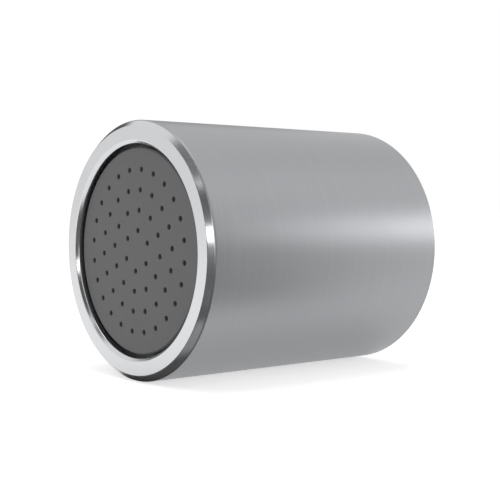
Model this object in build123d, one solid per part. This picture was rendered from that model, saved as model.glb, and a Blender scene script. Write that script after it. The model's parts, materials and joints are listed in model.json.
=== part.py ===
from build123d import *

import os
from math import cos, hypot, pi, radians, sin

# Tap nozzle with a fine spray, made to screw onto the end of a spout.
# It lies along Y: the inlet mouth is centred on the origin and opens towards +Y,
# and the spray face looks along -Y. All sizes are in millimetres.

# Sleeve: a turned tube with an inward lip at the spray end and a female thread at the inlet
thread_diameter = 22.0
thread_depth = 9.0
wall_over_thread = 1.0
mouth_chamfer = 0.3
rear_edge_chamfer = 0.2
front_edge_chamfer = 0.55
insert_bore_step = 0.58
lip_thickness = 1.4
lip_ledge = 0.57
lip_edge_break = 0.28

# Insert: everything that drops into the sleeve from the inlet
insert_clearance = 0.12

# Spray plate
face_recess = 0.55
face_gap = 0.3
face_edge_break = 0.15
plate_flange_thickness = 2.2
jet_rings = 4
jets_in_first_ring = 6
first_jet_angle = 23.7
jet_sides = 6
jet_diameter = 0.5
jet_land = 0.9
jet_inlet_diameter = 1.3
jet_field_margin = 0.84

# Gasket and barrel
gasket_thickness = 0.8
barrel_wall = 1.3
chamber_depth = 5.2
shelf_thickness = 1.6
collar_wall = 1.0
collar_height = 2.2
barrel_rib_count = 6
barrel_rib_thickness = 1.0
barrel_rib_height = 1.6

# Flow regulator
regulator_clearance = 0.1
regulator_wall = 1.0
regulator_floor = 1.2
regulator_headspace = 0.5
post_radius = 2.4
ring_section = 1.6
ring_slack = 0.1
ring_edge_break = 0.4
ring_headroom = 0.3
flow_gap = 0.9
outlet_width = 1.6
seat_rib_count = 8
seat_rib_width = 0.7
seat_rib_height = 0.4
cap_thickness = 0.8
cap_ledge = 0.4
cap_clearance = 0.05
cap_rim = 0.8
cap_spoke_count = 4
cap_spoke_width = 0.9

# Filter and inlet washer
washer_thickness = 2.0
washer_width = 1.8
frame_thickness = 0.9
frame_spoke_count = 6
frame_spoke_width = 0.9
frame_hub_radius = 1.3
gauze_thickness = 0.3
gauze_rim = 0.5
gauze_pitch = 1.9
gauze_wire = 0.6

# Radii, from the thread inwards
thread_radius = thread_diameter / 2
sleeve_radius = thread_radius + wall_over_thread
bore_radius = thread_radius - insert_bore_step
aperture_radius = bore_radius - lip_ledge
insert_radius = bore_radius - insert_clearance
chamber_radius = insert_radius - barrel_wall
jet_field_radius = chamber_radius - jet_field_margin - jet_inlet_diameter / 2
jet_ring_pitch = jet_field_radius / jet_rings

# Radii of the regulator, from its post outwards
cup_radius = post_radius + ring_slack + ring_section + flow_gap
cap_radius = cup_radius + cap_ledge - cap_clearance
regulator_radius = cup_radius + regulator_wall
collar_radius = regulator_radius + regulator_clearance

# Radii of the filter, from the washer inwards
washer_hole_radius = insert_radius - washer_width
frame_hole_radius = washer_hole_radius - gauze_rim

# Heights along Y, from the inlet mouth down to the spray end
washer_top = -thread_depth
gauze_top = washer_top - washer_thickness
frame_top = gauze_top - gauze_thickness
barrel_top = frame_top - frame_thickness
post_height = regulator_floor + seat_rib_height + ring_section + ring_headroom
regulator_height = post_height + cap_thickness
shelf_top = barrel_top - regulator_headspace - regulator_height
shelf_bottom = shelf_top - shelf_thickness
barrel_bottom = shelf_bottom - chamber_depth
plate_back = barrel_bottom - gasket_thickness
lip_back = plate_back - plate_flange_thickness
front = lip_back - lip_thickness
plate_face = front + face_recess


def turned(*outline):
    """A solid turned about Y from a closed outline of (radius, height) points."""
    return revolve(make_face(Polyline(*outline, close=True)), Axis.Y)


def ring(inner_radius, outer_radius, low, high):
    """A plain flat ring about Y."""
    return turned((inner_radius, low), (outer_radius, low), (outer_radius, high), (inner_radius, high))


def around(count, first_angle=0.0):
    """Turns about Y that space copies evenly."""
    return [Rot(0, first_angle + 360 * step / count, 0) for step in range(count)]


def radial_bar(inner, outer, width, low, high):
    """A straight bar along X, from one radius to another, between two heights."""
    middle = Pos((inner + outer) / 2, (low + high) / 2, 0)
    return middle * Box(outer - inner, high - low, width)


def nozzle_sleeve():
    return turned(
        (aperture_radius + lip_edge_break, front),
        (sleeve_radius - front_edge_chamfer, front),
        (sleeve_radius, front + front_edge_chamfer),
        (sleeve_radius, -rear_edge_chamfer),
        (sleeve_radius - rear_edge_chamfer, 0),
        (thread_radius + mouth_chamfer, 0),
        (thread_radius, -mouth_chamfer),
        (thread_radius, -thread_depth),
        (bore_radius, -thread_depth),
        (bore_radius, lip_back),
        (aperture_radius, lip_back),
        (aperture_radius, front + lip_edge_break),
    )


def jet_places():
    """Centres of the jets as (x, z): six more in each ring than in the ring inside it."""
    for ring_number in range(1, jet_rings + 1):
        count = jets_in_first_ring * ring_number
        for step in range(count):
            angle = radians(first_jet_angle + 360 * step / count)
            radius = jet_ring_pitch * ring_number
            yield radius * cos(angle), radius * sin(angle)


def jet():
    """The space of one jet, flat-sided to stay light: a straight outlet that opens into a funnel."""
    outlet_radius = jet_diameter / 2
    inlet_radius = jet_inlet_diameter / 2
    levels = [(outlet_radius, plate_face), (outlet_radius, plate_face + jet_land), (inlet_radius, plate_back)]
    turns = [2 * pi * side / jet_sides for side in range(jet_sides)]
    rims = [[(radius * cos(turn), height, radius * sin(turn)) for turn in turns] for radius, height in levels]
    faces = [Face(Wire.make_polygon(rims[0])), Face(Wire.make_polygon(rims[-1]))]
    for low, high in zip(rims, rims[1:]):
        for side in range(jet_sides):
            corners = [low[side - 1], low[side], high[side], high[side - 1]]
            faces.append(Face(Wire.make_polygon(corners)))
    return Solid(Shell(faces))


def spray_plate():
    boss_radius = aperture_radius - face_gap
    plate = turned(
        (0, plate_face),
        (boss_radius - face_edge_break, plate_face),
        (boss_radius, plate_face + face_edge_break),
        (boss_radius, lip_back),
        (insert_radius, lip_back),
        (insert_radius, plate_back),
        (0, plate_back),
    )
    one_jet = jet()
    return plate - [Pos(x, 0, z) * one_jet for x, z in jet_places()]


def plate_gasket():
    return ring(chamber_radius, insert_radius, plate_back, barrel_bottom)


def insert_barrel():
    barrel = turned(
        (chamber_radius, barrel_bottom),
        (insert_radius, barrel_bottom),
        (insert_radius, barrel_top),
        (chamber_radius, barrel_top),
        (chamber_radius, shelf_top),
        (collar_radius + collar_wall, shelf_top),
        (collar_radius + collar_wall, shelf_top + collar_height),
        (collar_radius, shelf_top + collar_height),
        (collar_radius, shelf_top),
        (cup_radius, shelf_top),
        (cup_radius, shelf_bottom),
        (chamber_radius, shelf_bottom),
    )
    rib_start = collar_radius + collar_wall / 2
    rib_end = chamber_radius + barrel_wall / 2
    rib = radial_bar(rib_start, rib_end, barrel_rib_thickness, shelf_top, shelf_top + barrel_rib_height)
    return barrel + [turn * rib for turn in around(barrel_rib_count)]


def regulator_body():
    floor_top = shelf_top + regulator_floor
    post_top = shelf_top + post_height
    body = turned(
        (0, shelf_top),
        (regulator_radius, shelf_top),
        (regulator_radius, shelf_top + regulator_height),
        (cup_radius + cap_ledge, shelf_top + regulator_height),
        (cup_radius + cap_ledge, post_top),
        (cup_radius, post_top),
        (cup_radius, floor_top),
        (post_radius, floor_top),
        (post_radius, post_top),
        (0, post_top),
    )
    rib_start = post_radius / 2
    rib_end = cup_radius - flow_gap
    seat_rib = radial_bar(rib_start, rib_end, seat_rib_width, floor_top, floor_top + seat_rib_height)
    body += [turn * seat_rib for turn in around(seat_rib_count)]
    outlet = radial_bar(cup_radius - flow_gap, cup_radius, outlet_width, shelf_top, floor_top)
    half_step = 180 / seat_rib_count
    return body - [turn * outlet for turn in around(seat_rib_count, half_step)]


def regulator_ring():
    low = shelf_top + regulator_floor + seat_rib_height
    high = low + ring_section
    inner = post_radius + ring_slack
    outer = inner + ring_section
    return turned(
        (inner, low),
        (outer - ring_edge_break, low),
        (outer, low + ring_edge_break),
        (outer, high - ring_edge_break),
        (outer - ring_edge_break, high),
        (inner, high),
    )


def regulator_cap():
    low = shelf_top + post_height
    high = low + cap_thickness
    cap = ring(cup_radius - cap_rim, cap_radius, low, high)
    cap += ring(0, post_radius, low, high)
    spoke = radial_bar(post_radius / 2, cup_radius, cap_spoke_width, low, high)
    return cap + [turn * spoke for turn in around(cap_spoke_count)]


def filter_frame():
    frame = ring(frame_hole_radius, insert_radius, barrel_top, frame_top)
    frame += ring(0, frame_hub_radius, barrel_top, frame_top)
    spoke_end = (frame_hole_radius + insert_radius) / 2
    spoke = radial_bar(frame_hub_radius / 2, spoke_end, frame_spoke_width, barrel_top, frame_top)
    return frame + [turn * spoke for turn in around(frame_spoke_count)]


def filter_gauze():
    opening = gauze_pitch - gauze_wire
    cutter = Pos(0, frame_top + gauze_thickness / 2, 0) * Box(opening, gauze_thickness, opening)
    reach = int(frame_hole_radius / gauze_pitch)
    steps = [gauze_pitch * step for step in range(-reach, reach + 1)]
    corner = opening / 2
    places = [
        (x, z)
        for x in steps
        for z in steps
        if hypot(abs(x) + corner, abs(z) + corner) < frame_hole_radius
    ]
    return ring(0, insert_radius, frame_top, gauze_top) - [Pos(x, 0, z) * cutter for x, z in places]


def inlet_washer():
    return ring(washer_hole_radius, insert_radius, gauze_top, washer_top)


pieces = [
    nozzle_sleeve,
    spray_plate,
    plate_gasket,
    insert_barrel,
    regulator_body,
    regulator_ring,
    regulator_cap,
    filter_frame,
    filter_gauze,
    inlet_washer,
]

os.makedirs("parts", exist_ok=True)
for piece in pieces:
    export_step(piece(), f"parts/{piece.__name__}.step")
print(f"length {-front:.2f}, outer diameter {2 * sleeve_radius:.2f}, jet ring pitch {jet_ring_pitch:.4f}")
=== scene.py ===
import json
from math import cos, pi, radians, sin

import bmesh
import bpy
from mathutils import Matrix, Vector


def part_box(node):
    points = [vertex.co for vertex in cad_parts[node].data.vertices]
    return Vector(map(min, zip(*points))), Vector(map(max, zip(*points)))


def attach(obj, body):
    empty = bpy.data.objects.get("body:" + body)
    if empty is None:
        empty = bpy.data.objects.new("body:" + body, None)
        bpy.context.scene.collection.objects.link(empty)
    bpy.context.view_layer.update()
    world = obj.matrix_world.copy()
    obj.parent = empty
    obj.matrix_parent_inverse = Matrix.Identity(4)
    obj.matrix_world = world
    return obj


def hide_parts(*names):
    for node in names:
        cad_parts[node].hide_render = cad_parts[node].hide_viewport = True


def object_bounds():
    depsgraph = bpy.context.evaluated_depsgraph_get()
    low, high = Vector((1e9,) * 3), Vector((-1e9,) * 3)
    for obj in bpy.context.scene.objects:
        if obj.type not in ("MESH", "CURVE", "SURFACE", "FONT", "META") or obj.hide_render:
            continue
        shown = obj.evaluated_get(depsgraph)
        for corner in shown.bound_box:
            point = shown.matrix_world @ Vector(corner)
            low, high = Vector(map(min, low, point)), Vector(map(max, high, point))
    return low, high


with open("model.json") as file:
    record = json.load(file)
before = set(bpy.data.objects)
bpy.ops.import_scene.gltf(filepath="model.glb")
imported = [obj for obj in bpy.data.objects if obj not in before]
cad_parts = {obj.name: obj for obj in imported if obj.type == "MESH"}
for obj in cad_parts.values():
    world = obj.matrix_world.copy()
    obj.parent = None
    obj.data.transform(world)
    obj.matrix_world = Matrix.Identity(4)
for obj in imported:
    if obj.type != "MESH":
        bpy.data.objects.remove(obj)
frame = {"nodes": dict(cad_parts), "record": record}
cad_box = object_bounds()

# Nozzle sleeve
# A stainless tube turned on a lathe, with an inward lip at the spray end that keeps the insert in.
# The tool leaves fine lines round the body, and the front rim is polished bright.

mm = 0.001
sleeve_low, sleeve_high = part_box("nozzle_sleeve")
washer_low, washer_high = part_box("inlet_washer")
plate_low, plate_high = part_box("spray_plate")
inlet_thread = next(mount for mount in frame["record"]["mounts"] if mount["name"] == "inlet_thread")
thread_radius = inlet_thread["dims"]["r_mm"] * mm
sleeve_radius = sleeve_high.z
insert_radius = plate_high.z
front = sleeve_low.y
mouth = sleeve_high.y
thread_end = washer_high.y
lip_thickness = 1.4 * mm
lip_ledge = 0.57 * mm
lip_edge_break = 0.28 * mm
insert_clearance = 0.12 * mm
front_chamfer = 0.55 * mm
rear_chamfer = 0.2 * mm
mouth_chamfer = 0.3 * mm
lip_back = front + lip_thickness
bore_radius = insert_radius + insert_clearance
aperture_radius = bore_radius - lip_ledge

turned_edge = 0.07 * mm
widest_ease = 0.3
ease_margin = 0.4
turn_count = 256
sharp_corner = radians(40)

satin_steel_dark = (0.310, 0.314, 0.326, 1.0)
satin_steel_light = (0.350, 0.354, 0.366, 1.0)
polished_steel = (0.610, 0.615, 0.625, 1.0)
machined_steel = (0.500, 0.504, 0.512, 1.0)
satin_roughness = (0.35, 0.45)
machined_roughness = (0.22, 0.34)
polished_roughness = (0.13, 0.19)
patch_roughness = (-0.02, 0.02)
patch_scale = 160.0
tool_line_scale = 9000.0
tool_line_drift = 40.0
tool_line_contrast = (0.25, 0.75)
tool_line_depth = 0.004 * mm
tool_line_strength = 0.25
polish_ends = (front + 0.78 * front_chamfer, front + 0.9 * front_chamfer)
machining_starts = (sleeve_radius - 0.30 * mm, sleeve_radius - 0.15 * mm)


def eased(corners, ease, steps=4):
    """A closed outline of (radius, height) points with rounded corners; those on the axis stay sharp.

    A rounding takes no more than its share of an edge, and a point beyond each end keeps the rest flat.
    """
    points = [Vector(corner) for corner in corners]
    outline = []
    for before, corner, after in zip(points[-1:] + points[:-1], points, points[1:] + points[:1]):
        if corner.x == 0:
            outline.append(corner)
            continue
        back, ahead = before - corner, after - corner
        reach = min(ease, widest_ease * back.length, widest_ease * ahead.length)
        start = corner + back.normalized() * reach
        end = corner + ahead.normalized() * reach
        outline.append(start + back.normalized() * ease_margin * reach)
        for step in range(steps + 1):
            share = step / steps
            outline.append(start.lerp(corner, share).lerp(corner.lerp(end, share), share))
        outline.append(end + ahead.normalized() * ease_margin * reach)
    return outline


def turned(name, outline, turns=turn_count):
    """A closed mesh turned about Y from an outline of (radius, height) points."""
    form = bmesh.new()
    rims = []
    angles = [2 * pi * turn / turns for turn in range(turns)]
    for radius, height in outline:
        if radius == 0:
            rims.append([form.verts.new((0, height, 0))] * turns)
            continue
        rims.append([form.verts.new((radius * cos(angle), height, radius * sin(angle))) for angle in angles])
    for rim, next_rim in zip(rims, rims[1:] + rims[:1]):
        for turn in range(turns):
            corners = dict.fromkeys([rim[turn - 1], rim[turn], next_rim[turn], next_rim[turn - 1]])
            if len(corners) > 2:
                form.faces.new(corners)
    bmesh.ops.recalc_face_normals(form, faces=form.faces)
    mesh = bpy.data.meshes.new(name)
    form.to_mesh(mesh)
    form.free()
    mesh.shade_smooth()
    mesh.set_sharp_from_angle(angle=sharp_corner)
    return mesh


def stand_in_scene(name, mesh):
    """An object for a finished mesh, at the origin."""
    piece = bpy.data.objects.new(name, mesh)
    bpy.context.scene.collection.objects.link(piece)
    return piece


def node(tree, kind, feeds=None, **settings):
    """A node with its settings; each feed is a plain value or the socket that it comes from."""
    made = tree.nodes.new(kind)
    for setting, value in settings.items():
        setattr(made, setting, value)
    for name, value in (feeds or {}).items():
        if isinstance(value, bpy.types.NodeSocket):
            tree.links.new(value, made.inputs[name])
        else:
            made.inputs[name].default_value = value
    return made


def reckon(tree, operation, *feeds):
    """The result of a Math node on values or sockets."""
    return node(tree, "ShaderNodeMath", dict(enumerate(feeds)), operation=operation).outputs[0]


def sockets(tree, direction, named_kinds):
    """Adds named sockets to a node group."""
    for name, kind in named_kinds.items():
        tree.interface.new_socket(name, in_out=direction, socket_type=f"NodeSocket{kind}")


def finish(name, **constants):
    """A new material with its tree and Principled shader; constants go on the shader's own sockets."""
    material = bpy.data.materials.new(name)
    material.use_nodes = True
    tree = material.node_tree
    shader = tree.nodes["Principled BSDF"]
    for socket, value in constants.items():
        shader.inputs[socket.replace("_", " ")].default_value = value
    return material, tree, shader


def object_place(tree):
    """Where a point lies in the piece's own frame."""
    return node(tree, "ShaderNodeTexCoord").outputs["Object"]


def spread(tree, value, onto, over=(0.0, 1.0)):
    """A value stretched from one range onto another."""
    feeds = {"Value": value, "From Min": over[0], "From Max": over[1], "To Min": onto[0], "To Max": onto[1]}
    return node(tree, "ShaderNodeMapRange", feeds).outputs["Result"]


def mixed(tree, share, first, second):
    """A colour between two, by a share from 0 to 1."""
    return node(tree, "ShaderNodeMix", {0: share, 6: first, 7: second}, data_type="RGBA").outputs[2]


def between(tree, share, first, second):
    """A value between two, by a share from 0 to 1."""
    return node(tree, "ShaderNodeMix", {0: share, 2: first, 3: second}).outputs[0]


turned_lines = bpy.data.node_groups.new("turned_lines", "ShaderNodeTree")
sockets(turned_lines, "INPUT", {"Place": "Vector", "Lines": "Float", "Drift": "Float"})
sockets(turned_lines, "OUTPUT", {"Line": "Float", "Along": "Float", "Radius": "Float"})
given = node(turned_lines, "NodeGroupInput").outputs
across = node(turned_lines, "ShaderNodeVectorMath", {
    0: given["Place"], 1: (1, 0, 1),
}, operation="MULTIPLY").outputs[0]
radius = node(turned_lines, "ShaderNodeVectorMath", {0: across}, operation="LENGTH").outputs["Value"]
axes = node(turned_lines, "ShaderNodeSeparateXYZ", {0: given["Place"]}).outputs
along = reckon(turned_lines, "ADD", axes["Y"], radius)
line_place = node(turned_lines, "ShaderNodeCombineXYZ", {
    "X": reckon(turned_lines, "MULTIPLY", axes["X"], given["Drift"]),
    "Y": reckon(turned_lines, "MULTIPLY", along, given["Lines"]),
    "Z": reckon(turned_lines, "MULTIPLY", axes["Z"], given["Drift"]),
}).outputs[0]
lines = node(turned_lines, "ShaderNodeTexNoise", {
    "Vector": line_place, "Scale": 1.0, "Detail": 4.0, "Roughness": 0.6,
}).outputs["Fac"]
node(turned_lines, "NodeGroupOutput", {"Line": lines, "Along": axes["Y"], "Radius": radius})

brushed_stainless, tree, shader = finish(
    "brushed_stainless", Metallic=1.0, Anisotropic=0.2, Anisotropic_Rotation=0.25,
)
place = object_place(tree)
marks = node(tree, "ShaderNodeGroup", {
    "Place": place, "Lines": tool_line_scale, "Drift": tool_line_drift,
}, node_tree=turned_lines).outputs
patches = node(tree, "ShaderNodeTexNoise", {
    "Vector": place, "Scale": patch_scale, "Detail": 2.0,
}).outputs["Fac"]
on_rim = spread(tree, marks["Along"], (1.0, 0.0), polish_ends)
inside = spread(tree, marks["Radius"], (1.0, 0.0), machining_starts)
streak = spread(tree, marks["Line"], (0.0, 1.0), tool_line_contrast)
satin = mixed(tree, streak, satin_steel_dark, satin_steel_light)
steel = mixed(tree, on_rim, mixed(tree, inside, satin, machined_steel), polished_steel)
tree.links.new(steel, shader.inputs["Base Color"])
satin_gloss = reckon(
    tree, "ADD", spread(tree, streak, satin_roughness), spread(tree, patches, patch_roughness),
)
turned_gloss = between(tree, inside, satin_gloss, spread(tree, streak, machined_roughness))
gloss = between(tree, on_rim, turned_gloss, spread(tree, streak, polished_roughness))
tree.links.new(gloss, shader.inputs["Roughness"])
cut = node(tree, "ShaderNodeBump", {
    "Height": marks["Line"], "Strength": tool_line_strength, "Distance": tool_line_depth,
})
tree.links.new(cut.outputs["Normal"], shader.inputs["Normal"])
turned_direction = node(tree, "ShaderNodeTangent", direction_type="RADIAL", axis="Y")
tree.links.new(turned_direction.outputs["Tangent"], shader.inputs["Tangent"])

sleeve_outline = [
    (aperture_radius + lip_edge_break, front),
    (sleeve_radius - front_chamfer, front),
    (sleeve_radius, front + front_chamfer),
    (sleeve_radius, mouth - rear_chamfer),
    (sleeve_radius - rear_chamfer, mouth),
    (thread_radius + mouth_chamfer, mouth),
    (thread_radius, mouth - mouth_chamfer),
    (thread_radius, thread_end),
    (bore_radius, thread_end),
    (bore_radius, lip_back),
    (aperture_radius, lip_back),
    (aperture_radius, front + lip_edge_break),
]
sleeve = stand_in_scene("turned_sleeve", turned("turned_sleeve", eased(sleeve_outline, turned_edge)))
sleeve.data.materials.append(brushed_stainless)
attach(sleeve, "root")
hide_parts("nozzle_sleeve")

# Inlet thread
# The fine female thread that screws onto the spout, cut into the sleeve's wall behind the mouth.
# Its ridge runs out at both ends, just inside the mouth and short of the washer.

thread_pitch = 1.0 * mm
ridge_height = 0.541 * thread_pitch
ridge_foot = 0.875 * thread_pitch
ridge_crest = 0.25 * thread_pitch
ridge_bite = 0.03 * mm
thread_top = mouth - 0.55 * mm
thread_foot = thread_end + 0.9 * mm
thread_turns = (thread_top - thread_foot) / thread_pitch
points_per_turn = 128
run_out_turns = 0.5
run_out_end = 0.05


def grown(name, mesh, tree, values):
    """The plain mesh that a node tree makes of a mesh, with the tree's named inputs set."""
    carrier = stand_in_scene(name, mesh)
    modifier = carrier.modifiers.new(name, "NODES")
    modifier.node_group = tree
    for label, value in values.items():
        modifier[tree.interface.items_tree[label].identifier] = value
    evaluated = carrier.evaluated_get(bpy.context.evaluated_depsgraph_get())
    result = bpy.data.meshes.new_from_object(evaluated)
    carrier.modifiers.remove(modifier)
    carrier.data = result
    result.name = name
    return carrier


def shape_tree(name, named_kinds):
    """A geometry tree with its named inputs, and the sockets that they come from."""
    tree = bpy.data.node_groups.new(name, "GeometryNodeTree")
    sockets(tree, "INPUT", {"Shape": "Geometry", **named_kinds, "Finish": "Material"})
    sockets(tree, "OUTPUT", {"Shape": "Geometry"})
    return tree, node(tree, "NodeGroupInput").outputs


def close_tree(tree, shape, material):
    """Ends a geometry tree: real faces, one finish."""
    real = node(tree, "GeometryNodeRealizeInstances", {"Geometry": shape}).outputs["Geometry"]
    dressed = node(tree, "GeometryNodeSetMaterial", {"Geometry": real, "Material": material})
    node(tree, "NodeGroupOutput", {"Shape": dressed.outputs["Geometry"]})


def vector(tree, **parts):
    """A vector from named parts; those left out are 0."""
    return node(tree, "ShaderNodeCombineXYZ", parts).outputs[0]


thread_tree, given = shape_tree("thread_ridge", {
    "Radius": "Float", "Turns": "Float", "Length": "Float", "Foot": "Float", "Run Out": "Float",
    "Ridge Height": "Float", "Ridge Foot": "Float", "Ridge Crest": "Float",
})
helix = node(thread_tree, "GeometryNodeCurveSpiral", {
    "Resolution": points_per_turn,
    "Rotations": given["Turns"],
    "Start Radius": given["Radius"],
    "End Radius": given["Radius"],
    "Height": given["Length"],
    "Reverse": True,
}).outputs["Curve"]
upright = node(thread_tree, "GeometryNodeSetCurveNormal", {"Curve": helix}, mode="Z_UP").outputs["Curve"]
section = node(thread_tree, "GeometryNodeCurvePrimitiveQuadrilateral", {
    "Height": given["Ridge Height"],
    "Bottom Width": given["Ridge Foot"],
    "Top Width": given["Ridge Crest"],
    "Offset": 0.0,
}, mode="TRAPEZOID").outputs["Curve"]
inward = vector(thread_tree, X=reckon(thread_tree, "MULTIPLY", given["Ridge Height"], -0.5))
laid = node(thread_tree, "GeometryNodeTransform", {
    "Geometry": section, "Translation": inward, "Rotation": (0, 0, radians(90)),
}).outputs["Geometry"]
share = node(thread_tree, "GeometryNodeSplineParameter").outputs["Factor"]
nearest_end = reckon(thread_tree, "MINIMUM", share, reckon(thread_tree, "SUBTRACT", 1.0, share))
turns_in = reckon(thread_tree, "MULTIPLY", nearest_end, given["Turns"])
fade = spread(thread_tree, turns_in, (run_out_end, 1.0), (0.0, given["Run Out"]))
ridge = node(thread_tree, "GeometryNodeCurveToMesh", {
    "Curve": upright, "Profile Curve": laid, "Scale": fade, "Fill Caps": True,
}).outputs["Mesh"]
turned_ridge = node(thread_tree, "GeometryNodeTransform", {
    "Geometry": ridge,
    "Translation": vector(thread_tree, Y=given["Foot"]),
    "Rotation": (radians(-90), 0, 0),
}).outputs["Geometry"]
close_tree(thread_tree, turned_ridge, given["Finish"])

thread = grown("inlet_thread_ridge", bpy.data.meshes.new("inlet_thread_ridge"), thread_tree, {
    "Radius": thread_radius + ridge_bite,
    "Turns": thread_turns,
    "Length": thread_top - thread_foot,
    "Foot": thread_foot,
    "Run Out": run_out_turns,
    "Ridge Height": ridge_height + ridge_bite,
    "Ridge Foot": ridge_foot,
    "Ridge Crest": ridge_crest,
    "Finish": brushed_stainless,
})
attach(thread, "root")

# Spray plate
# A dark grey acetal disc, injection moulded, dropped in behind the sleeve's lip.
# Sixty fine jets stand in four rings on its face, each opening into a funnel behind.

face_gap = 0.3 * mm
boss_radius = aperture_radius - face_gap
plate_face = plate_low.y
plate_back = plate_high.y
plate_edge_break = 0.15 * mm
plate_edge = 0.05 * mm
jet_ring_count = 4
jets_in_first_ring = 6
jet_ring_pitch = 1.8775 * mm
first_jet_angle = radians(23.7)
jet_radius = 0.25 * mm
jet_mouth_radius = 0.28 * mm
jet_mouth_depth = 0.03 * mm
jet_land = 0.9 * mm
jet_inlet_radius = 0.65 * mm
jet_sides = 24
jet_sharp_corner = radians(30)
cutter_margin = 0.2 * mm

dark_acetal = (0.108, 0.109, 0.113, 1.0)
dark_acetal_pale = (0.128, 0.129, 0.133, 1.0)
dark_acetal_roughness = 0.5
plate_grain_scale = 9000.0
plate_grain_depth = 0.01 * mm
flow_scale = 140.0
noise_middle = (0.3, 0.7)
gloss_drift = 0.05
grain_strength = 0.5

moulded_grain = bpy.data.node_groups.new("moulded_grain", "ShaderNodeTree")
sockets(moulded_grain, "INPUT", {"Place": "Vector", "Grain Scale": "Float", "Flow Scale": "Float"})
sockets(moulded_grain, "OUTPUT", {"Grain": "Float", "Flow": "Float"})
given = node(moulded_grain, "NodeGroupInput").outputs
grain = node(moulded_grain, "ShaderNodeTexNoise", {
    "Vector": given["Place"], "Scale": given["Grain Scale"], "Detail": 3.0, "Roughness": 0.6,
}).outputs["Fac"]
flow = node(moulded_grain, "ShaderNodeTexNoise", {
    "Vector": given["Place"], "Scale": given["Flow Scale"], "Detail": 2.0, "Distortion": 0.6,
}).outputs["Fac"]
node(moulded_grain, "NodeGroupOutput", {"Grain": grain, "Flow": flow})


def moulded(name, dark, pale, roughness, grain_scale, grain_depth):
    """A moulded finish: fine grain in the relief, and slow drifts in tone and gloss where the melt flowed."""
    material, tree, shader = finish(name)
    feeds = {"Place": object_place(tree), "Grain Scale": grain_scale, "Flow Scale": flow_scale}
    marks = node(tree, "ShaderNodeGroup", feeds, node_tree=moulded_grain).outputs
    average = reckon(tree, "MULTIPLY", reckon(tree, "ADD", marks["Grain"], marks["Flow"]), 0.5)
    colour = mixed(tree, spread(tree, average, (0.0, 1.0), noise_middle), dark, pale)
    tree.links.new(colour, shader.inputs["Base Color"])
    gloss = spread(tree, marks["Flow"], (roughness - gloss_drift, roughness + gloss_drift), noise_middle)
    tree.links.new(gloss, shader.inputs["Roughness"])
    relief = node(tree, "ShaderNodeBump", {
        "Height": marks["Grain"], "Strength": grain_strength, "Distance": grain_depth,
    })
    tree.links.new(relief.outputs["Normal"], shader.inputs["Normal"])
    return material


dark_grey_acetal = moulded(
    "dark_grey_acetal", dark_acetal, dark_acetal_pale,
    dark_acetal_roughness, plate_grain_scale, plate_grain_depth,
)

plate_outline = [
    (0, plate_face),
    (boss_radius - plate_edge_break, plate_face),
    (boss_radius, plate_face + plate_edge_break),
    (boss_radius, lip_back),
    (insert_radius, lip_back),
    (insert_radius, plate_back),
    (0, plate_back),
]
plain_plate = turned("spray_disc", eased(plate_outline, plate_edge))
jet_outline = [
    (0, plate_face - cutter_margin),
    (jet_mouth_radius, plate_face - cutter_margin),
    (jet_mouth_radius, plate_face),
    (jet_radius, plate_face + jet_mouth_depth),
    (jet_radius, plate_face + jet_land),
    (jet_inlet_radius, plate_back),
    (jet_inlet_radius, plate_back + cutter_margin),
    (0, plate_back + cutter_margin),
]
jet_cutter = stand_in_scene("jet_cutter", turned("jet_cutter", jet_outline, jet_sides))

# Ring n holds n times as many jets as the first, so a jet's number gives its ring through a square root.
jet_tree, given = shape_tree("jet_rings", {
    "Jet": "Object", "Rings": "Int", "Ring Pitch": "Float", "First Angle": "Float",
})
half_ring = jets_in_first_ring / 2
rings_and_one = reckon(jet_tree, "ADD", given["Rings"], 1.0)
ring_product = reckon(jet_tree, "MULTIPLY", given["Rings"], rings_and_one)
jet_count = reckon(jet_tree, "MULTIPLY", ring_product, half_ring)
index = node(jet_tree, "GeometryNodeInputIndex").outputs["Index"]
reach = reckon(jet_tree, "MULTIPLY_ADD", reckon(jet_tree, "ADD", index, 0.5), 4 / half_ring, 1.0)
past_one = reckon(jet_tree, "SUBTRACT", reckon(jet_tree, "SQRT", reach), 1.0)
ring_number = reckon(jet_tree, "CEIL", reckon(jet_tree, "MULTIPLY", past_one, 0.5))
inner_product = reckon(jet_tree, "MULTIPLY", ring_number, reckon(jet_tree, "SUBTRACT", ring_number, 1.0))
step = reckon(jet_tree, "SUBTRACT", index, reckon(jet_tree, "MULTIPLY", inner_product, half_ring))
turn = reckon(jet_tree, "DIVIDE", reckon(jet_tree, "MULTIPLY", step, pi / half_ring), ring_number)
angle = reckon(jet_tree, "ADD", turn, given["First Angle"])
ring_radius = reckon(jet_tree, "MULTIPLY", ring_number, given["Ring Pitch"])
jet_place = vector(
    jet_tree,
    X=reckon(jet_tree, "MULTIPLY", ring_radius, reckon(jet_tree, "COSINE", angle)),
    Z=reckon(jet_tree, "MULTIPLY", ring_radius, reckon(jet_tree, "SINE", angle)),
)
places = node(jet_tree, "GeometryNodePoints", {"Count": jet_count, "Position": jet_place}).outputs["Points"]
cutter = node(jet_tree, "GeometryNodeObjectInfo", {"Object": given["Jet"]}).outputs["Geometry"]
cutters = node(jet_tree, "GeometryNodeInstanceOnPoints", {"Points": places, "Instance": cutter})
pierced = node(jet_tree, "GeometryNodeMeshBoolean", {
    "Mesh 1": given["Shape"], "Mesh 2": cutters.outputs["Instances"],
}, operation="DIFFERENCE", solver="EXACT").outputs["Mesh"]
close_tree(jet_tree, pierced, given["Finish"])

plate = grown("spray_disc", plain_plate, jet_tree, {
    "Jet": jet_cutter,
    "Rings": jet_ring_count,
    "Ring Pitch": jet_ring_pitch,
    "First Angle": first_jet_angle,
    "Finish": dark_grey_acetal,
})
plate.data.set_sharp_from_angle(angle=jet_sharp_corner)
bpy.data.objects.remove(jet_cutter)
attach(plate, "root")
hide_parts("spray_plate")

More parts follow.
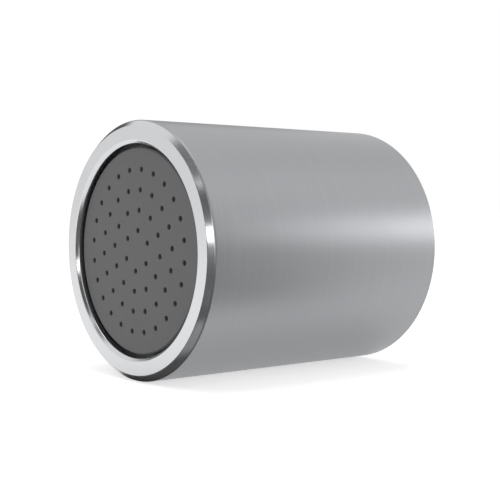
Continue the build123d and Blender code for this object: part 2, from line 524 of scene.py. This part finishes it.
# Insert barrel and flow regulator
# Plain acetal mouldings that stack inside the sleeve: the barrel carries a cupped regulator with its cap.
# A rubber gasket seals the barrel to the plate, and a rubber ring in the cup narrows the flow.

natural_white = (0.70, 0.68, 0.62, 1.0)
natural_white_pale = (0.76, 0.74, 0.69, 1.0)
natural_roughness = 0.42
light_grey = (0.30, 0.31, 0.33, 1.0)
light_grey_pale = (0.34, 0.35, 0.37, 1.0)
light_grey_roughness = 0.45
insert_grain_scale = 6000.0
insert_grain_depth = 0.008 * mm
rubber_black = (0.012, 0.012, 0.013, 1.0)
rubber_black_pale = (0.022, 0.022, 0.023, 1.0)
rubber_roughness = 0.6
rubber_grain_scale = 12000.0
rubber_grain_depth = 0.01 * mm

natural_acetal = moulded(
    "natural_acetal", natural_white, natural_white_pale,
    natural_roughness, insert_grain_scale, insert_grain_depth,
)
grey_acetal = moulded(
    "grey_acetal", light_grey, light_grey_pale,
    light_grey_roughness, insert_grain_scale, insert_grain_depth,
)
black_rubber = moulded(
    "black_rubber", rubber_black, rubber_black_pale,
    rubber_roughness, rubber_grain_scale, rubber_grain_depth,
)
insert_finishes = {
    "insert_barrel": natural_acetal,
    "filter_frame": natural_acetal,
    "regulator_body": grey_acetal,
    "regulator_cap": grey_acetal,
    "regulator_ring": black_rubber,
    "plate_gasket": black_rubber,
}
for name, material in insert_finishes.items():
    piece = frame["nodes"][name]
    piece.data.materials.clear()
    piece.data.materials.append(material)

# Filter gauze
# A disc of plain-woven stainless wire, punched from cloth and nipped between the filter frame and the washer.
# It keeps grit from the pipe out of the jets.

gauze_low, gauze_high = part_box("filter_gauze")
gauze_clearance = 0.1 * mm
gauze_radius = gauze_high.z - gauze_clearance
gauze_middle = (gauze_low.y + gauze_high.y) / 2
wire_radius = (gauze_high.y - gauze_low.y) / 4
wire_pitch = 0.52 * mm
wire_sides = 6
bends_per_pitch = 4
wire_count = 2 * int(gauze_radius / wire_pitch) + 1

drawn_wire_dark = (0.42, 0.42, 0.43, 1.0)
drawn_wire_bright = (0.56, 0.56, 0.57, 1.0)
drawn_wire_roughness = (0.22, 0.38)
drawn_wire_grain_scale = 5000.0
drawn_wire_patch_scale = 300.0

steel_gauze, tree, shader = finish("steel_gauze", Metallic=1.0)
marks = node(tree, "ShaderNodeGroup", {
    "Place": object_place(tree), "Grain Scale": drawn_wire_grain_scale, "Flow Scale": drawn_wire_patch_scale,
}, node_tree=moulded_grain).outputs
wire_colour = mixed(tree, marks["Flow"], drawn_wire_dark, drawn_wire_bright)
tree.links.new(wire_colour, shader.inputs["Base Color"])
wire_gloss = spread(tree, marks["Grain"], drawn_wire_roughness, noise_middle)
tree.links.new(wire_gloss, shader.inputs["Roughness"])

gauze_tree, given = shape_tree("woven_gauze", {
    "Radius": "Float", "Pitch": "Float", "Wire Radius": "Float",
    "Wires": "Int", "Bends": "Int", "Level": "Float",
})
half_gaps = reckon(gauze_tree, "MULTIPLY", reckon(gauze_tree, "SUBTRACT", given["Wires"], 1.0), 0.5)
half_width = reckon(gauze_tree, "MULTIPLY", half_gaps, given["Pitch"])
left = reckon(gauze_tree, "MULTIPLY", half_width, -1.0)
straight = node(gauze_tree, "GeometryNodeCurvePrimitiveLine", {
    "Start": vector(gauze_tree, X=left), "End": vector(gauze_tree, X=half_width),
}).outputs["Curve"]
bendable = node(gauze_tree, "GeometryNodeResampleCurve", {
    "Curve": straight, "Count": given["Bends"],
}).outputs["Curve"]
row = node(gauze_tree, "GeometryNodeMeshLine", {
    "Count": given["Wires"],
    "Start Location": vector(gauze_tree, Z=left),
    "Offset": vector(gauze_tree, Z=given["Pitch"]),
}).outputs["Mesh"]
row_wires = node(gauze_tree, "GeometryNodeInstanceOnPoints", {
    "Points": row, "Instance": bendable,
}).outputs["Instances"]
warp = node(gauze_tree, "GeometryNodeRealizeInstances", {"Geometry": row_wires}).outputs["Geometry"]
position = node(gauze_tree, "GeometryNodeInputPosition").outputs["Position"]
axes = node(gauze_tree, "ShaderNodeSeparateXYZ", {0: position}).outputs
half_turn = reckon(gauze_tree, "DIVIDE", pi, given["Pitch"])
waves = []
for axis in "XZ":
    from_edge = reckon(gauze_tree, "ADD", axes[axis], half_width)
    waves.append(reckon(gauze_tree, "COSINE", reckon(gauze_tree, "MULTIPLY", from_edge, half_turn)))
sway = reckon(gauze_tree, "MULTIPLY", reckon(gauze_tree, "MULTIPLY", *waves), given["Wire Radius"])
bent = node(gauze_tree, "GeometryNodeSetPosition", {
    "Geometry": warp, "Offset": vector(gauze_tree, Y=sway),
}).outputs["Geometry"]
distance = node(gauze_tree, "ShaderNodeVectorMath", {0: position}, operation="LENGTH").outputs["Value"]
outside = node(gauze_tree, "FunctionNodeCompare", {
    "A": distance, "B": given["Radius"],
}, operation="GREATER_THAN").outputs["Result"]
round_warp = node(gauze_tree, "GeometryNodeDeleteGeometry", {
    "Geometry": bent, "Selection": outside,
}, domain="POINT").outputs["Geometry"]
section = node(gauze_tree, "GeometryNodeCurvePrimitiveCircle", {
    "Resolution": wire_sides, "Radius": given["Wire Radius"],
}).outputs["Curve"]
warp_wires = node(gauze_tree, "GeometryNodeCurveToMesh", {
    "Curve": round_warp, "Profile Curve": section, "Fill Caps": True,
}).outputs["Mesh"]
weft_wires = node(gauze_tree, "GeometryNodeTransform", {
    "Geometry": warp_wires, "Rotation": (pi, radians(90), 0),
}).outputs["Geometry"]
cloth = node(gauze_tree, "GeometryNodeJoinGeometry")
gauze_tree.links.new(warp_wires, cloth.inputs["Geometry"])
gauze_tree.links.new(weft_wires, cloth.inputs["Geometry"])
smooth = node(gauze_tree, "GeometryNodeSetShadeSmooth", {"Geometry": cloth.outputs["Geometry"]})
seated = node(gauze_tree, "GeometryNodeTransform", {
    "Geometry": smooth.outputs["Geometry"], "Translation": vector(gauze_tree, Y=given["Level"]),
}).outputs["Geometry"]
close_tree(gauze_tree, seated, given["Finish"])

gauze = grown("woven_gauze", bpy.data.meshes.new("woven_gauze"), gauze_tree, {
    "Radius": gauze_radius,
    "Pitch": wire_pitch,
    "Wire Radius": wire_radius,
    "Wires": wire_count,
    "Bends": (wire_count - 1) * bends_per_pitch + 1,
    "Level": gauze_middle,
    "Finish": steel_gauze,
})
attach(gauze, "root")
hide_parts("filter_gauze")

# Inlet washer
# A flat ring of black rubber, pushed in last behind the thread.
# It seals against the end of the spout and holds the filter down.

washer_width = 1.8 * mm
washer_hole_radius = washer_high.z - washer_width
washer_edge = 0.16 * mm
washer_outline = [
    (washer_hole_radius, washer_low.y),
    (washer_high.z, washer_low.y),
    (washer_high.z, washer_high.y),
    (washer_hole_radius, washer_high.y),
]
washer = stand_in_scene("rubber_washer", turned("rubber_washer", eased(washer_outline, washer_edge)))
washer.data.materials.append(black_rubber)
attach(washer, "root")
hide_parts("inlet_washer")

# Floor and background
# A plain white sweep: the floor just touches the sleeve and fades into the same white behind it.
# It keeps the soft shadow under the sleeve.

floor_level = cad_box[0].z
floor_half = 3.0
floor_colour = (0.8, 0.8, 0.8, 1.0)
pure_white = (1.0, 1.0, 1.0, 1.0)
floor_glow = 0.55
room_light = 0.6
background_light = 1.0

floor_form = bmesh.new()
bmesh.ops.create_grid(floor_form, x_segments=1, y_segments=1, size=floor_half)
bmesh.ops.translate(floor_form, verts=floor_form.verts, vec=(0, 0, floor_level))
floor_mesh = bpy.data.meshes.new("floor")
floor_form.to_mesh(floor_mesh)
floor_form.free()
floor = stand_in_scene("floor", floor_mesh)


def seen_white(tree):
    """The share of rays that see the background itself: from the camera, in a reflection or through glass."""
    paths = node(tree, "ShaderNodeLightPath").outputs
    seen = reckon(tree, "MAXIMUM", paths["Is Camera Ray"], paths["Is Glossy Ray"])
    return reckon(tree, "MAXIMUM", seen, paths["Is Transmission Ray"])


floor_finish, tree, shader = finish(
    "floor_white", Base_Color=floor_colour, Roughness=1.0, Specular_IOR_Level=0.0, Emission_Color=pure_white,
)
tree.links.new(reckon(tree, "MULTIPLY", seen_white(tree), floor_glow), shader.inputs["Emission Strength"])
floor.data.materials.append(floor_finish)

world = bpy.data.worlds.new("studio")
bpy.context.scene.world = world
world.use_nodes = True
tree = world.node_tree
tree.nodes.clear()
room = node(tree, "ShaderNodeBackground", {"Color": pure_white, "Strength": room_light})
white = node(tree, "ShaderNodeBackground", {"Color": pure_white, "Strength": background_light})
either = node(tree, "ShaderNodeMixShader", {0: seen_white(tree), 1: room.outputs[0], 2: white.outputs[0]})
node(tree, "ShaderNodeOutputWorld", {"Surface": either.outputs[0]})

# Lights
# Soft boxes of a small product studio: one behind to the right with a faint one above it, a long one
# overhead, and a small one beside the camera that glints on the polished rim.

middle = (cad_box[0] + cad_box[1]) / 2


def direction(azimuth, elevation):
    """Towards a direction in degrees, azimuth from -Y towards +X."""
    turn, rise = radians(azimuth), radians(elevation)
    return Vector((sin(turn) * cos(rise), -cos(turn) * cos(rise), sin(rise)))


def soft_box(name, azimuth, elevation, distance, width, height, power):
    """An area light aimed at the object."""
    towards = direction(azimuth, elevation)
    lamp = bpy.data.lights.new(name, "AREA")
    lamp.shape = "RECTANGLE"
    lamp.size = width
    lamp.size_y = height
    lamp.energy = power
    light = bpy.data.objects.new(name, lamp)
    light.location = middle + towards * distance
    light.rotation_euler = towards.to_track_quat("Z", "Y").to_euler()
    bpy.context.scene.collection.objects.link(light)


soft_box("rear_right_box", azimuth=155, elevation=10.3, distance=0.5, width=0.28, height=0.11, power=0.49)
soft_box("overhead_box", azimuth=0, elevation=80, distance=0.7, width=0.3, height=0.8, power=1.1)
soft_box("upper_right_box", azimuth=150, elevation=41, distance=0.5, width=0.3, height=0.2, power=0.05)
soft_box("glint_box", azimuth=32, elevation=10, distance=0.165, width=0.06, height=0.018, power=0.021)

# Cards
# Sheets of card stood round the nozzle; they paint dark reflections on the metal, where a photographer would
# set dark cards to draw dark edges.
# A dark one bends up from the floor in front, with a lid above it and a grey strip close to the rim.
# Others lie and stand at the right, and one stands at the left. Only reflections see them.
# The dark one's foot under the front edge and the grey card lying at the right paint the sleeve's shadow on
# the floor as the metal reflects it, and the grey strip paints the lit floor just in front of the rim.

card_lift = 0.02 * mm
card_level = floor_level + card_lift
card_roughness = 0.9


def card(name, rows, tone, left, right, first=0.0, last=0.0):
    """A sheet of card through rows of two points, seen only in reflections.

    Its left, right, first and last edges fade out over these shares of its width or length.
    """
    form = bmesh.new()
    sheet_map = form.loops.layers.uv.new("sheet")
    edges = [[form.verts.new(point) for point in row] for row in rows]
    spans = len(rows) - 1
    for number, (near, far) in enumerate(zip(edges, edges[1:])):
        face = form.faces.new((near[0], near[1], far[1], far[0]))
        start, end = number / spans, (number + 1) / spans
        for corner, spot in zip(face.loops, ((0, start), (1, start), (1, end), (0, end))):
            corner[sheet_map].uv = spot
    mesh = bpy.data.meshes.new(name)
    form.to_mesh(mesh)
    form.free()
    sheet = stand_in_scene(name, mesh)
    material, tree, shader = finish(name, Base_Color=(tone, tone, tone, 1.0), Roughness=card_roughness)
    spot = node(tree, "ShaderNodeUVMap", uv_map="sheet").outputs["UV"]
    shares = node(tree, "ShaderNodeSeparateXYZ", {0: spot}).outputs
    from_right = reckon(tree, "SUBTRACT", 1.0, shares["X"])
    from_last = reckon(tree, "SUBTRACT", 1.0, shares["Y"])
    cover = 1.0
    for gap, fade in ((shares["X"], left), (from_right, right), (shares["Y"], first), (from_last, last)):
        if fade:
            feeds = {"Value": gap, "From Max": fade}
            soft = node(tree, "ShaderNodeMapRange", feeds, interpolation_type="SMOOTHSTEP").outputs["Result"]
            cover = reckon(tree, "MULTIPLY", cover, soft)
    tree.links.new(cover, shader.inputs["Alpha"])
    sheet.data.materials.append(material)
    sheet.visible_camera = False
    sheet.visible_diffuse = False
    sheet.visible_shadow = False


# The dark card's foot under the front edge paints the contact shadow that the rim's lower edge reflects.
foot_left, foot_near, foot_far = -7 * mm, front + 0.7 * mm, front - 0.7 * mm
dark_left, dark_right, dark_near, dark_far = -3 * mm, 190 * mm, front - 1 * mm, front - 190 * mm
dark_top, lid_foot, lid_top = 184 * mm, 212 * mm, 420 * mm
lid_near, lid_left = front - 120 * mm, -150 * mm
card("dark_card", [
    [(foot_left, foot_near, card_level), (dark_right, foot_near, card_level)],
    [(foot_left, foot_far, card_level), (dark_right, foot_far, card_level)],
    [(dark_left, dark_near, card_level), (dark_right, dark_near, card_level)],
    [(dark_left, dark_far, card_level), (dark_right, dark_far, card_level)],
    [(dark_left, dark_far, dark_top), (dark_right, dark_far, dark_top)],
], tone=0.14, left=0.03, right=0.2)
card("lid_card", [
    [(lid_left, dark_far, lid_foot), (dark_right, dark_far, lid_foot)],
    [(lid_left, lid_near, lid_top), (dark_right, lid_near, lid_top)],
], tone=0.25, left=0.3, right=0.2, last=0.41)
# The grey strip paints the lit floor just in front of the rim, as the rim reflects it.
strip_level = card_level + card_lift
strip_left, strip_right, strip_near, strip_far = 4 * mm, 16 * mm, front - 0.8 * mm, front - 7 * mm
card("near_card", [
    [(strip_left, strip_near, strip_level), (strip_right, strip_near, strip_level)],
    [(strip_left, strip_far, strip_level), (strip_right, strip_far, strip_level)],
], tone=0.45, left=0.3, right=0.3, first=0.2, last=0.4)
# The grey card lying at the right paints the sleeve's shadow on the floor, as the body reflects it.
side_near, side_far, side_front = 13 * mm, 120 * mm, -60 * mm
slant_rear, right_rear, left_rear = -2 * mm, 100 * mm, 140 * mm
right_top, left_top = 75 * mm, 95 * mm
card("floor_card", [
    [(side_near, side_front, card_level), (side_near, slant_rear, card_level)],
    [(side_far, side_front, card_level), (side_far, right_rear, card_level)],
], tone=0.69, left=0.3, right=0.4, first=0.1)
card("right_card", [
    [(side_far, side_front, card_level), (side_far, right_rear, card_level)],
    [(side_far, side_front, right_top), (side_far, right_rear, right_top)],
], tone=0.10, left=0.3, right=0.3, last=0.4)
card("left_card", [
    [(-side_far, side_front, card_level), (-side_far, left_rear, card_level)],
    [(-side_far, side_front, left_top), (-side_far, left_rear, left_top)],
], tone=0.10, left=0.25, right=0.25, last=0.25)

# Camera
# Where the photograph was taken from: close, a little above the axis, in front and to the right.
# Its lens and shift put the nozzle where it lies in that picture.

view_azimuth = 50.58
view_elevation = 2.07
view_distance = 8.918 * sleeve_radius
picture_width = 500
focal_pixels = 1071
sensor_width = 36.0
shift_right, shift_up = -0.001, -0.0048
nearest_seen = 0.01
back = direction(view_azimuth, view_elevation)
lens = bpy.data.cameras.new("camera")
lens.sensor_width = sensor_width
lens.lens = sensor_width * focal_pixels / picture_width
lens.shift_x = shift_right
lens.shift_y = shift_up
lens.clip_start = nearest_seen
camera = bpy.data.objects.new("camera", lens)
camera.location = middle + back * view_distance
camera.rotation_euler = back.to_track_quat("Z", "Y").to_euler()
bpy.context.scene.collection.objects.link(camera)
bpy.context.scene.camera = camera
bpy.context.scene.view_settings.view_transform = "Standard"
